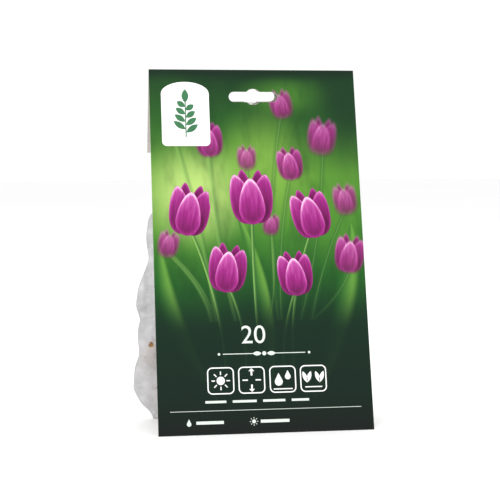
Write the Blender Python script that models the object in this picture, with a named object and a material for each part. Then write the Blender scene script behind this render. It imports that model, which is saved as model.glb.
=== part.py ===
"""Flower bulb packet: a folded printed card with a hang slot, a film bag fixed behind it, and its bulbs.

Metres, +Z up. The card's front faces -Y and leans back; the filled bag stands behind it as the rear foot.
The pieces are placed from the middle of the card's bottom edge. At the end everything is moved together,
so that the origin is on the floor under the middle of the packet's box.
"""

import math

import bmesh
import bpy
import numpy as np
from mathutils import Matrix, Vector

# The card: one board, folded once along its top.
CARD_WIDTH = 0.135
PANEL_HEIGHT = 0.235
FLAP_LENGTH = 0.057
BOARD = 0.0005
LEAN = math.radians(16.76)
FLARE = math.radians(20.0)
FOLD_RADIUS = 0.0007
FOLD_STEPS = 8

# The hang slot, punched through both layers.
SLOT_DROP = 0.018
SLOT_LENGTH = 0.032
SLOT_HEIGHT = 0.007
SLOT_EYE_RADIUS = 0.0055
PUNCH_DEPTH = 0.006
ARC_STEPS = 8

# The strip that holds the bag's top band to the card.
STRIP_LENGTH = 0.096
STRIP_WIDTH = 0.012
STRIP_THICKNESS = 0.0004
STRIP_DROP = 0.037

# The bag's outer shape, as level sections from the floor to the mouth:
# height, left edge, right edge, middle, half thickness.
BAG_SECTIONS = (
    (0.000, -0.058, 0.050, 0.0505, 0.0085),
    (0.004, -0.069, 0.060, 0.0505, 0.0118),
    (0.012, -0.0765, 0.0665, 0.0505, 0.0133),
    (0.028, -0.0800, 0.0700, 0.0505, 0.0138),
    (0.048, -0.0790, 0.0695, 0.0510, 0.0134),
    (0.066, -0.0770, 0.0680, 0.0515, 0.0108),
    (0.086, -0.0750, 0.0660, 0.0520, 0.0070),
    (0.110, -0.0710, 0.0625, 0.0525, 0.0046),
    (0.135, -0.0660, 0.0585, 0.0530, 0.0034),
    (0.155, -0.0600, 0.0550, 0.0535, 0.0026),
    (0.172, -0.0560, 0.0530, 0.0556, 0.0018),
    (0.197, -0.0550, 0.0525, 0.0630, 0.0014),
)
FILM = 0.0003
SIDE_WELD = 0.0030
BOTTOM_FILM = 0.0004
BAG_LOOPS = 22
BAG_SIDES = 36
FULL_EDGE = 0.72
THIN_EDGE = 1.15

# The bulbs.
BULB_COUNT = 20
BULB_COLUMNS = 7
BULB_RADIUS = (0.0082, 0.0094)
BULB_LENGTH = (0.0220, 0.0255)
BULB_SIDES = 14
BULB_GAP = 0.0010
FIRST_BULB = (-0.064, 0.0510, 0.014)
BULB_PITCH = (0.0195, 0.0260)
SETTLE_STEPS = 500
SETTLE_DROP = 0.00015
FALLING_SHARE = 0.7
FLOOR_VIEW = 0.65
PUSH = 1.4
SIDEWAYS_TILT = 0.3
TIP_LEAN = 0.0003
SEED = 11

TOUCH_GAP = 0.0003


def material(name, colour, roughness, alpha=1.0):
    """A plain surface of one colour."""
    made = bpy.data.materials.new(name)
    made.use_nodes = True
    shader = made.node_tree.nodes["Principled BSDF"]
    shader.inputs["Base Color"].default_value = (*colour, 1.0)
    shader.inputs["Roughness"].default_value = roughness
    shader.inputs["Metallic"].default_value = 0.0
    shader.inputs["Alpha"].default_value = alpha
    return made


def add_object(name, mesh, surface, smooth_angle=None):
    """Puts a mesh in the scene as a named piece with one material."""
    mesh.materials.append(surface)
    if smooth_angle is not None:
        mesh.shade_smooth()
        mesh.set_sharp_from_angle(angle=smooth_angle)
    piece = bpy.data.objects.new(name, mesh)
    bpy.context.scene.collection.objects.link(piece)
    return piece


def mesh_from(name, build):
    """Runs build on an empty bmesh, turns the faces outwards and returns the mesh."""
    bm = bmesh.new()
    build(bm)
    bmesh.ops.recalc_face_normals(bm, faces=bm.faces)
    mesh = bpy.data.meshes.new(name)
    bm.to_mesh(mesh)
    bm.free()
    return mesh


def arc(centre, radius, start, end, steps):
    """Points along an arc in a plane, from the start angle to the end angle, in degrees."""
    angles = np.radians(np.linspace(start, end, steps + 1))
    return [(centre[0] + radius * math.cos(a), centre[1] + radius * math.sin(a)) for a in angles]


def prism(bm, outline, place):
    """A closed solid between two copies of a flat outline; place(point, side) puts a corner in space."""
    ends = [[bm.verts.new(place(p, side)) for p in outline] for side in (-1, 1)]
    bm.faces.new(ends[0])
    bm.faces.new(reversed(ends[1]))
    for i in range(len(outline)):
        j = (i + 1) % len(outline)
        bm.faces.new((ends[0][i], ends[1][i], ends[1][j], ends[0][j]))


# ---- The card ----

def panel_direction():
    """Up along the leaning front panel, as (y, z)."""
    return math.sin(LEAN), math.cos(LEAN)


def flap_direction():
    """Down along the flap, as (y, z)."""
    return math.sin(FLARE), -math.cos(FLARE)


def card_foot():
    """Bottom edge of the front face, as (y, z): the board's back edge is what touches the floor."""
    return 0.0, BOARD * math.sin(LEAN)


def fold_point():
    """Where the front panel's face meets the fold, as (y, z)."""
    up = panel_direction()
    foot = card_foot()
    return foot[0] + PANEL_HEIGHT * up[0], foot[1] + PANEL_HEIGHT * up[1]


def card_profile():
    """The board's outline seen from its side: outer face up, over the fold and down, then the inner face back."""
    foot, top = card_foot(), fold_point()
    centre = (top[0] + FOLD_RADIUS * math.cos(LEAN), top[1] - FOLD_RADIUS * math.sin(LEAN))
    start, end = 180 - math.degrees(LEAN), math.degrees(FLARE)
    outer = arc(centre, FOLD_RADIUS, start, end, FOLD_STEPS)
    inner = arc(centre, FOLD_RADIUS - BOARD, start, end, FOLD_STEPS)
    down = flap_direction()
    outer_end = (outer[-1][0] + FLAP_LENGTH * down[0], outer[-1][1] + FLAP_LENGTH * down[1])
    inner_end = (inner[-1][0] + FLAP_LENGTH * down[0], inner[-1][1] + FLAP_LENGTH * down[1])
    inner_foot = (foot[0] + BOARD * math.cos(LEAN), foot[1] - BOARD * math.sin(LEAN))
    return [foot, *outer, outer_end, inner_end, *reversed(inner), inner_foot]


def slot_outline():
    """The hang slot: a long slot with round ends and a round eye in its middle, for a hook."""
    end_radius = SLOT_HEIGHT / 2
    reach = SLOT_LENGTH / 2 - end_radius
    eye = math.degrees(math.asin(end_radius / SLOT_EYE_RADIUS))
    return (
        arc((reach, 0), end_radius, -90, 90, ARC_STEPS)
        + arc((0, 0), SLOT_EYE_RADIUS, eye, 180 - eye, ARC_STEPS)
        + arc((-reach, 0), end_radius, 90, 270, ARC_STEPS)
        + arc((0, 0), SLOT_EYE_RADIUS, 180 + eye, 360 - eye, ARC_STEPS)
    )


def slot_punch(name, middle, along):
    """A cutter for the slot, square to a panel that runs along a (y, z) direction through a (y, z) point."""
    across = (-along[1], along[0])

    def place(point, side):
        depth = side * PUNCH_DEPTH / 2
        y = middle[0] + point[1] * along[0] + depth * across[0]
        z = middle[1] + point[1] * along[1] + depth * across[1]
        return point[0], y, z

    punch = bpy.data.objects.new(name, mesh_from(name, lambda bm: prism(bm, slot_outline(), place)))
    bpy.context.scene.collection.objects.link(punch)
    punch.hide_render = True
    punch.display_type = "WIRE"
    return punch


def make_card():
    """The folded card, with the slot through its front panel and its flap."""
    def place(point, side):
        return side * CARD_WIDTH / 2, point[0], point[1]

    mesh = mesh_from("card", lambda bm: prism(bm, card_profile(), place))
    card = add_object("card", mesh, material("printed_board", (0.07, 0.19, 0.08), 0.35))
    top, up, down = fold_point(), panel_direction(), flap_direction()
    front_middle = (top[0] - SLOT_DROP * up[0], top[1] - SLOT_DROP * up[1])
    flap_middle = (top[0] + SLOT_DROP * down[0], top[1] + SLOT_DROP * down[1])
    for name, middle, along in (("front", front_middle, up), ("flap", flap_middle, down)):
        cut = card.modifiers.new("slot_" + name, "BOOLEAN")
        cut.operation = "DIFFERENCE"
        cut.solver = "EXACT"
        cut.object = slot_punch("punch_" + name, middle, along)
    return card


def make_strip():
    """The adhesive strip between the card's back and the bag's top band."""
    top, up = fold_point(), panel_direction()
    back = (math.cos(LEAN), -math.sin(LEAN))
    lift = BOARD + TOUCH_GAP

    def corner(along, depth):
        y = top[0] - (STRIP_DROP - along) * up[0] + (lift + depth) * back[0]
        z = top[1] - (STRIP_DROP - along) * up[1] + (lift + depth) * back[1]
        return y, z

    half, thick = STRIP_WIDTH / 2, STRIP_THICKNESS
    outline = [corner(-half, 0), corner(half, 0), corner(half, thick), corner(-half, thick)]

    def place(point, side):
        return side * STRIP_LENGTH / 2, point[0], point[1]

    mesh = mesh_from("adhesive_strip", lambda bm: prism(bm, outline, place))
    return add_object("adhesive_strip", mesh, material("adhesive", (0.86, 0.85, 0.80), 0.5))


# ---- The bag ----

def section(z):
    """Left edge, right edge, middle and half thickness of the bag's outside at a height."""
    rows = np.array(BAG_SECTIONS)
    heights = rows[:, 0]
    i = int(np.clip(np.searchsorted(heights, z) - 1, 0, len(rows) - 2))
    span = heights[i + 1] - heights[i]
    t = (z - heights[i]) / span
    before = rows[max(i - 1, 0)]
    after = rows[min(i + 2, len(rows) - 1)]
    slope_in = (rows[i + 1] - before) / (heights[i + 1] - before[0])
    slope_out = (after - rows[i]) / (after[0] - heights[i])
    curve = (
        rows[i] * (1 + 2 * t) * (1 - t) ** 2
        + rows[i + 1] * t * t * (3 - 2 * t)
        + slope_in * span * t * (1 - t) ** 2
        - slope_out * span * t * t * (1 - t)
    )
    return curve[1:]


def edge_power(half_thickness):
    """How full the section's ends are: round where bulbs fill the bag, sharp where the film is flat."""
    full = BAG_SECTIONS[3][4]
    share = min(half_thickness / full, 1.0)
    return THIN_EDGE + (FULL_EDGE - THIN_EDGE) * share


def bag_loop(z, film, weld):
    """Points around the bag at a height, moved in by the film's thickness and the side weld's width."""
    left, right, middle, half = section(z)
    centre, reach = (left + right) / 2, (right - left) / 2 - weld
    power = edge_power(half)
    points = []
    for i in range(BAG_SIDES):
        angle = 2 * math.pi * i / BAG_SIDES
        side = math.sin(angle)
        bulge = math.copysign(abs(side) ** power, side) * (half - film)
        points.append(Vector((centre + reach * math.cos(angle), middle + bulge, z)))
    return points


def bag_heights(lowest):
    """Heights of the loops, closer together near the floor, where the bag turns under."""
    top = BAG_SECTIONS[-1][0]
    return [lowest + (top - lowest) * (i / (BAG_LOOPS - 1)) ** 1.5 for i in range(BAG_LOOPS)]


def close_loop(bm, loop):
    """Closes a loop's end with a row of faces from its front to its back."""
    count = len(loop)
    for i in range(count // 2):
        corners = [loop[i], loop[i + 1], loop[-i - 1], loop[(-i) % count]]
        bm.faces.new(list(dict.fromkeys(corners)))


def build_bag(bm):
    """Outer film from the floor to the mouth, inner film back down, both closed at the bottom."""
    outside = [[bm.verts.new(p) for p in bag_loop(z, 0, 0)] for z in bag_heights(0)]
    inside = [[bm.verts.new(p) for p in bag_loop(z, FILM, SIDE_WELD)] for z in bag_heights(BOTTOM_FILM)]
    loops = outside + inside[::-1]
    for lower, upper in zip(loops, loops[1:]):
        for i in range(BAG_SIDES):
            j = (i + 1) % BAG_SIDES
            bm.faces.new((lower[i], lower[j], upper[j], upper[i]))
    close_loop(bm, outside[0])
    close_loop(bm, inside[0])


def make_bag():
    """The film bag, open only at its flat mouth under the flap."""
    film = material("film", (0.78, 0.78, 0.80), 0.3, alpha=0.5)
    return add_object("bag", mesh_from("bag", build_bag), film, math.radians(40))


# ---- The bulbs ----

def bulb_radius(s):
    """The bulb's radius as a share of its largest, at a share s of its length from base to tip."""
    body = math.sin(math.pi * min(s * 0.98 + 0.075, 1.0) ** 0.86) ** 0.62
    neck = 0.17 * (1 - s) + 0.05
    return max(body * (1 - 0.62 * s ** 3), neck)


BALLS = np.array([(s, bulb_radius(s)) for s in (0.16, 0.32, 0.48, 0.66, 0.84, 0.96)])


def bulb_room(radius):
    """For a ball of this radius, how high and how far to each side its middle can be inside the bag."""
    heights = np.linspace(0.0, BAG_SECTIONS[-1][0], 120)
    rows = np.array([section(z) for z in heights])
    inner = rows[:, 3] - FILM - BULB_GAP / 2
    ceiling = heights[np.nonzero(inner > radius)[0][-1]]
    power = np.array([edge_power(half) for half in rows[:, 3]])
    share = np.sqrt(1 - np.clip(radius / inner, 0, 0.999) ** (2 / power))
    reach = share * ((rows[:, 1] - rows[:, 0]) / 2 - SIDE_WELD)
    return heights, (rows[:, 0] + rows[:, 1]) / 2, reach, rows[:, 2], inner - radius, ceiling


def bag_push(ball, radius, room):
    """How far a ball has to move to be back inside the film and off the floor."""
    heights, centres, reaches, middles, slacks, ceiling = room
    move = np.zeros(3)
    move[2] = max(BOTTOM_FILM + BULB_GAP + radius - ball[2], 0.0) + min(ceiling - ball[2], 0.0)
    near_floor = ball[2] - FLOOR_VIEW * radius
    centre, reach = np.interp(near_floor, heights, centres), np.interp(near_floor, heights, reaches)
    middle = np.interp(ball[2], heights, middles)
    along = (ball[0] - centre) / reach
    slack = max(np.interp(ball[2], heights, slacks), 0.0) * math.sqrt(max(1 - along * along, 0.0))
    move[0] = float(np.clip(ball[0] - centre, -reach, reach)) + centre - ball[0]
    move[1] = float(np.clip(ball[1] - middle, -slack, slack)) + middle - ball[1]
    return move


def move_ends(place, push, touching):
    """Moves both ends of every rod by the mean of the pushes on the balls along it."""
    share = BALLS[:, 0]
    weight = (1 - share) ** 2 + share ** 2
    touches = np.maximum(touching.sum(axis=1), 1.0)[:, None]
    for end, part in ((0, 1 - share), (1, share)):
        place[:, end] += PUSH * (push * (part / weight)[None, :, None]).sum(axis=1) / touches


def settle(radii, lengths):
    """Lets the bulbs come to rest in the bag: each is a rod of balls, pushed apart, down and off the film."""
    rng = np.random.default_rng(SEED)
    place = np.zeros((BULB_COUNT, 2, 3))
    for i in range(BULB_COUNT):
        row, column = divmod(i + 1, BULB_COLUMNS)
        column -= 0.5 if row == 0 else 0.0
        centre = np.array(FIRST_BULB) + (BULB_PITCH[0] * column, 0, BULB_PITCH[1] * row)
        turn = rng.uniform(0, 2 * math.pi)
        axis = np.array([math.cos(turn), rng.uniform(-SIDEWAYS_TILT, SIDEWAYS_TILT), math.sin(turn)])
        axis *= lengths[i] / 2 / np.linalg.norm(axis)
        place[i] = centre - axis, centre + axis
    share = BALLS[:, 0]
    size = radii[:, None] * BALLS[:, 1] + BULB_GAP / 2
    rooms = [[bulb_room(radius) for radius in row] for row in size]
    same = np.kron(np.eye(BULB_COUNT), np.ones((len(BALLS), len(BALLS)))) > 0
    reach = size.reshape(-1, 1) + size.reshape(1, -1)
    for step in range(SETTLE_STEPS):
        if step < SETTLE_STEPS * FALLING_SHARE:
            place[:, :, 2] -= SETTLE_DROP
        balls = place[:, :1] + share[:, None] * (place[:, 1:] - place[:, :1])
        flat = balls.reshape(-1, 3)
        gap = flat[:, None] - flat[None]
        apart = np.linalg.norm(gap, axis=2) + 1e-9
        deep = np.where(same, 0.0, np.clip(reach - apart, 0.0, None))
        push = (gap / apart[:, :, None] * deep[:, :, None] / 2).sum(axis=1).reshape(balls.shape)
        move_ends(place, push, (deep > 0).sum(axis=1).reshape(size.shape))
        balls = place[:, :1] + share[:, None] * (place[:, 1:] - place[:, :1])
        for i in range(BULB_COUNT):
            for k in range(len(BALLS)):
                push[i, k] = bag_push(balls[i, k], size[i, k], rooms[i][k])
        move_ends(place, push, push.any(axis=2))
        rod, middle = place[:, 1] - place[:, 0], place.mean(axis=1)
        rod *= (lengths / np.linalg.norm(rod, axis=1))[:, None] / 2
        place[:, 0], place[:, 1] = middle - rod, middle + rod
    return place


def build_bulb(bm, radius, length, lean):
    """One bulb, base at the origin and tip up: a turned ovoid, its tip a little to one side."""
    shares = (0.0, 0.05, 0.14, 0.28, 0.44, 0.60, 0.74, 0.87, 1.0)
    rings = []
    for s in shares:
        ring = []
        for i in range(BULB_SIDES):
            angle = 2 * math.pi * i / BULB_SIDES
            r = radius * bulb_radius(s)
            ring.append(bm.verts.new((r * math.cos(angle) + lean * s ** 3, r * math.sin(angle), length * s)))
        rings.append(ring)
    for lower, upper in zip(rings, rings[1:]):
        for i in range(BULB_SIDES):
            j = (i + 1) % BULB_SIDES
            bm.faces.new((lower[i], lower[j], upper[j], upper[i]))
    bm.faces.new(reversed(rings[0]))
    bm.faces.new(rings[-1])


def make_bulbs():
    """Every bulb, each its own size, where it came to rest."""
    rng = np.random.default_rng(SEED + 1)
    radii = rng.uniform(*BULB_RADIUS, BULB_COUNT)
    lengths = rng.uniform(*BULB_LENGTH, BULB_COUNT)
    skin = material("dry_skin", (0.42, 0.26, 0.13), 0.7)
    bulbs = []
    for i, (base, tip) in enumerate(settle(radii, lengths)):
        name = f"bulb_{i + 1:02d}"
        mesh = mesh_from(name, lambda bm: build_bulb(bm, radii[i], lengths[i], TIP_LEAN))
        bulb = add_object(name, mesh, skin, math.radians(50))
        axis = Vector(tip - base)
        turn = axis.to_track_quat("Z", "X").to_matrix().to_4x4()
        bulb.matrix_world = Matrix.Translation(Vector(base)) @ turn
        bulbs.append(bulb)
    return bulbs


def stand_on_origin(pieces):
    """Moves everything together, so that the origin is under the middle of the box, on the floor."""
    bpy.context.view_layer.update()
    corners = [p.matrix_world @ v.co for p in pieces for v in p.data.vertices]
    low = [min(c[k] for c in corners) for k in range(3)]
    high = [max(c[k] for c in corners) for k in range(3)]
    shift = Matrix.Translation((-(low[0] + high[0]) / 2, -(low[1] + high[1]) / 2, -low[2]))
    for item in bpy.context.scene.objects:
        item.matrix_world = shift @ item.matrix_world


def main():
    for item in list(bpy.data.objects):
        bpy.data.objects.remove(item)
    pieces = [make_card(), make_strip(), make_bag(), *make_bulbs()]
    stand_on_origin(pieces)


main()
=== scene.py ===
"""Looks for the flower bulb packet: printed card, crinkled perforated bag and papery bulbs."""

import math

import bmesh
import bpy
import numpy as np
from mathutils import Matrix, Vector, noise


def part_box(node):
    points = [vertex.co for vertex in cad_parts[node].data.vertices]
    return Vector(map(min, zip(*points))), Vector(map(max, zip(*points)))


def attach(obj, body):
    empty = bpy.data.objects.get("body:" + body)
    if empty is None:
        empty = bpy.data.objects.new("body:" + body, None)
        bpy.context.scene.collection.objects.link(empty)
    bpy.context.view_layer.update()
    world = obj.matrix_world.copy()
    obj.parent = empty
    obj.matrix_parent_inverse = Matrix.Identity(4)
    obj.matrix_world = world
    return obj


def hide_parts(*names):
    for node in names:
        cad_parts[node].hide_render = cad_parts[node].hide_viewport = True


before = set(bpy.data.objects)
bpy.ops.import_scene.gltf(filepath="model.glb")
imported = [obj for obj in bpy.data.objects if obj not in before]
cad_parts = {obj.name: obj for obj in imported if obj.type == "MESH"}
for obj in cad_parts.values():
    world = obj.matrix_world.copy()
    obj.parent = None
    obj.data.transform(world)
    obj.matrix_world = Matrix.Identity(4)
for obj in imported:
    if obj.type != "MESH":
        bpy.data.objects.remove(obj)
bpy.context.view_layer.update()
card_low, card_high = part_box("card")

MM = 0.001

# The card, as the frame has it, in metres and radians.
LEAN = math.radians(16.76)
FLARE = math.radians(20.0)
BOARD = 0.0005
PANEL = 0.235
FLAP = 0.057
FOLD_RADIUS = 0.0007
SLOT_DROP = 0.018
SLOT_REACH = 12.5
SLOT_END_RADIUS = 3.5
SLOT_EYE_RADIUS = 5.5
WIDTH = card_high.x - card_low.x
FOOT = Vector(((card_low.x + card_high.x) / 2, card_low.y, BOARD * math.sin(LEAN)))
UP = Vector((0, math.sin(LEAN), math.cos(LEAN)))
OUT = Vector((0, -math.cos(LEAN), math.sin(LEAN)))
DOWN = Vector((0, math.sin(FLARE), -math.cos(FLARE)))
FLAP_NORMAL = Vector((0, math.cos(FLARE), math.sin(FLARE)))
FOLD_CENTRE = FOOT + PANEL * UP - FOLD_RADIUS * OUT

# The bag, in millimetres: (height, place) rows of its crinkled side edges, across from the card's middle,
# and of the sheet half-way between its two layers, back from the card's foot.
BAG_TOP = 198.0
LEFT_EDGE = (
    (0, -67), (5, -69), (9, -74), (14, -77), (20, -80), (34, -79), (42, -76), (57, -77), (65, -75),
    (74, -78), (86, -76), (104, -69), (117, -71), (131, -69), (142, -60), (172, -55), (198, -55),
)
RIGHT_EDGE = (
    (0, 58), (6, 61), (14, 66), (24, 69), (36, 70), (52, 67), (66, 69),
    (84, 65), (100, 61), (118, 62), (135, 58), (150, 54), (172, 53), (198, 52.5),
)
MIDDLE_SHEET = ((0, 50.5), (50, 51), (86, 52), (135, 53), (155, 54), (172, 55.6), (198, 63))
SHEET_COLUMNS = 180
SHEET_ROWS = 240
ROW_CROWDING = 1.25

# The film: its perforated cell, how many cells across and up, its holes and how it lies over the bulbs.
CELL = (10.5, 18.0)
CELLS = (14, 11)
HOLE = 3.6
FILM = 0.00006
FILM_OVER_BULB = 0.0003
WELD_HALF = 0.00012

BULBS = sorted(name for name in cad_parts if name.startswith("bulb_"))


# ---- Camera, floor and light ----

def make_camera():
    """Looks at the packet from a little to its left and above."""
    data = bpy.data.cameras.new("camera")
    data.lens = 92.5
    data.sensor_width = 36
    camera = bpy.data.objects.new("camera", data)
    camera.location = Vector((FOOT.x - 0.1222, FOOT.y - 0.7701, 0.1862))
    camera.rotation_euler = (math.radians(84.686), 0, math.radians(-8.213))
    bpy.context.scene.collection.objects.link(camera)
    bpy.context.scene.camera = camera


def area_light(name, place, target, size, power):
    """A soft square lamp."""
    data = bpy.data.lights.new(name, "AREA")
    data.size = size
    data.energy = power
    lamp = bpy.data.objects.new(name, data)
    lamp.location = place
    lamp.rotation_euler = (Vector(target) - Vector(place)).to_track_quat("-Z", "Y").to_euler()
    bpy.context.scene.collection.objects.link(lamp)


def make_studio():
    """A pale floor under soft light from above and in front."""
    world = bpy.data.worlds.new("studio")
    bpy.context.scene.world = world
    world.use_nodes = True
    background = world.node_tree.nodes["Background"]
    background.inputs["Color"].default_value = (1, 1, 1, 1)
    background.inputs["Strength"].default_value = 1.03
    area_light("key", (-0.5, -0.7, 0.9), (0, 0, 0.1), 0.7, 4.0)
    area_light("fill", (0.8, -0.5, 0.7), (0, 0, 0.1), 0.9, 2.0)
    area_light("top", (0.0, 0.3, 1.2), (0, 0, 0.0), 1.0, 4.0)
    bpy.context.scene.view_settings.view_transform = "Standard"
    bm = bmesh.new()
    bmesh.ops.create_grid(bm, x_segments=8, y_segments=8, size=4)
    mesh = bpy.data.meshes.new("floor")
    bm.to_mesh(mesh)
    bm.free()
    floor = bpy.data.objects.new("floor", mesh)
    bpy.context.scene.collection.objects.link(floor)
    mesh.materials.append(floor_material())


# ---- Writing shader nodes ----

def srgb(red, green, blue):
    """A screen colour, 0 to 255, as the shader's linear colour."""
    shares = (red / 255, green / 255, blue / 255)
    linear = [c / 12.92 if c <= 0.04045 else ((c + 0.055) / 1.055) ** 2.4 for c in shares]
    return (*linear, 1.0)


def set_inputs(tree, made, inputs):
    """Fills a node's sockets, each by a value or by a link."""
    for key, value in inputs.items():
        if isinstance(value, bpy.types.NodeSocket):
            tree.links.new(value, made.inputs[key])
        else:
            made.inputs[key].default_value = value


def node(tree, kind, inputs=(), **settings):
    """Adds a node; inputs go to its sockets by name or number, as a value or as a link."""
    made = tree.nodes.new("ShaderNode" + kind)
    for key, value in settings.items():
        setattr(made, key, value)
    set_inputs(tree, made, dict(inputs))
    return made


def maths(tree, operation, *values):
    """One sum on numbers."""
    return node(tree, "Math", enumerate(values), operation=operation).outputs[0]


def vector_maths(tree, operation, *values):
    """One sum on vectors."""
    return node(tree, "VectorMath", enumerate(values), operation=operation).outputs[0]


def mix(tree, factor, low, high):
    """A colour between two."""
    return node(tree, "Mix", {0: factor, 6: low, 7: high}, data_type="RGBA").outputs[2]


def smooth(tree, value, start, end, low=0.0, high=1.0):
    """A soft step from low to high as the value goes from start to end."""
    inputs = {0: value, 1: start, 2: end, 3: low, 4: high}
    return node(tree, "MapRange", inputs, interpolation_type="SMOOTHSTEP").outputs[0]


def ramp(tree, value, *stops):
    """A colour ramp with stops of (place, colour)."""
    made = node(tree, "ValToRGB", {0: value})
    while len(made.color_ramp.elements) < len(stops):
        made.color_ramp.elements.new(0.5)
    for element, (place, colour) in zip(made.color_ramp.elements, stops):
        element.position = place
        element.color = colour
    return made.outputs[0]


def cloud(tree, vector, scale, detail=2.0, roughness=0.5):
    """Soft noise, about 0 to 1."""
    inputs = {"Vector": vector, "Scale": scale, "Detail": detail, "Roughness": roughness}
    return node(tree, "TexNoise", inputs).outputs[0]


def relief(tree, height, strength, distance):
    """A normal with fine bumps."""
    return node(tree, "Bump", {"Height": height, "Strength": strength, "Distance": distance}).outputs[0]


def stretched(tree, vector, scale, turn=(0, 0, 0)):
    """A vector scaled, then turned."""
    return node(tree, "Mapping", {"Vector": vector, "Scale": scale, "Rotation": turn}).outputs[0]


def new_material(name):
    """A material, its nodes, its shader and its object coordinates."""
    made = bpy.data.materials.new(name)
    made.use_nodes = True
    tree = made.node_tree
    return made, tree, tree.nodes["Principled BSDF"], node(tree, "TexCoord").outputs["Object"]


def node_group(name, inputs, outputs):
    """An empty shader group with named inputs of (name, type, value) and named float outputs."""
    tree = bpy.data.node_groups.new(name, "ShaderNodeTree")
    for label, kind, value in inputs:
        socket = tree.interface.new_socket(label, in_out="INPUT", socket_type="NodeSocket" + kind)
        socket.default_value = value
    for label in outputs:
        tree.interface.new_socket(label, in_out="OUTPUT", socket_type="NodeSocketFloat")
    return tree, tree.nodes.new("NodeGroupInput"), tree.nodes.new("NodeGroupOutput")


def use_group(tree, group, inputs):
    """The outputs of a group used once."""
    made = tree.nodes.new("ShaderNodeGroup")
    made.node_tree = group
    set_inputs(tree, made, inputs)
    return made.outputs


# ---- The print ----

def petal(tree, point, place, lean, half_width, half_height, blur):
    """Mask and depth of one pointed petal around a place, leaning to one side."""
    off = vector_maths(tree, "SUBTRACT", point, (*place, 0))
    turned = node(tree, "VectorRotate", {"Vector": off, "Angle": lean}, rotation_type="Z_AXIS").outputs[0]
    parts = node(tree, "SeparateXYZ", {0: turned}).outputs
    across = maths(tree, "DIVIDE", maths(tree, "ABSOLUTE", parts[0]), half_width)
    along = maths(tree, "DIVIDE", parts[1], half_height)
    narrow = maths(tree, "MULTIPLY_ADD", along, 0.32, 1.0)
    across = maths(tree, "POWER", maths(tree, "MULTIPLY", across, narrow), 1.7)
    depth = maths(tree, "ADD", across, maths(tree, "POWER", maths(tree, "ABSOLUTE", along), 2.2))
    edge_in = maths(tree, "SUBTRACT", 1.0, blur)
    edge_out = maths(tree, "ADD", 1.0, blur)
    return smooth(tree, depth, edge_in, edge_out, 1.0, 0.0), depth, along


def local_point(tree, point, blooms):
    """The point as each bloom sees it, turned and in units of its size; far from all of them it is far away."""
    local = None
    for x, y, size, turn in blooms:
        off = vector_maths(tree, "SUBTRACT", point, (x, y, 0))
        near = node(tree, "VectorMath", {0: off}, operation="LENGTH").outputs["Value"]
        near = maths(tree, "LESS_THAN", near, 1.5 * size)
        own = stretched(tree, off, (1 / size, 1 / size, 1), (0, 0, turn))
        before = (9.0, 9.0, 0.0) if local is None else local
        local = node(tree, "Mix", {0: near, 4: before, 5: own}, data_type="VECTOR").outputs[1]
    return local


def bloom_group():
    """One cup-shaped bloom of five petals, about two units high."""
    tree, given, result = node_group(
        "bloom", [("Local", "Vector", (0, 0, 0)), ("Blur", "Float", 0.06)], ["Mask", "Shade"])
    local, blur = given.outputs[0], given.outputs[1]
    streaks = cloud(tree, stretched(tree, local, (9.0, 1.2, 1.0)), 1.0, 3.0, 0.6)
    mask, shade = None, None
    petals = (
        ((-0.20, 0.14), -0.10, 0.30, 0.88, 0.30),
        ((0.22, 0.12), 0.12, 0.30, 0.86, 0.26),
        ((-0.36, -0.06), -0.22, 0.40, 0.92, 0.52),
        ((0.37, -0.08), 0.22, 0.40, 0.90, 0.44),
        ((0.00, -0.16), 0.0, 0.44, 0.84, 0.62),
    )
    for where, lean, half_width, half_height, tone in petals:
        own, depth, along = petal(tree, local, where, lean, half_width, half_height, blur)
        light = maths(tree, "MULTIPLY_ADD", along, 0.24, tone)
        light = maths(tree, "MULTIPLY_ADD", smooth(tree, depth, 0.55, 1.0), 0.22, light)
        light = maths(tree, "ADD", light, maths(tree, "MULTIPLY_ADD", streaks, 0.42, -0.21))
        if mask is None:
            mask, shade = own, light
        else:
            mask = maths(tree, "MAXIMUM", mask, own)
            shade = node(tree, "Mix", {0: own, 2: shade, 3: light}).outputs[0]
    tree.links.new(mask, result.inputs["Mask"])
    tree.links.new(shade, result.inputs["Shade"])
    return tree


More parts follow.
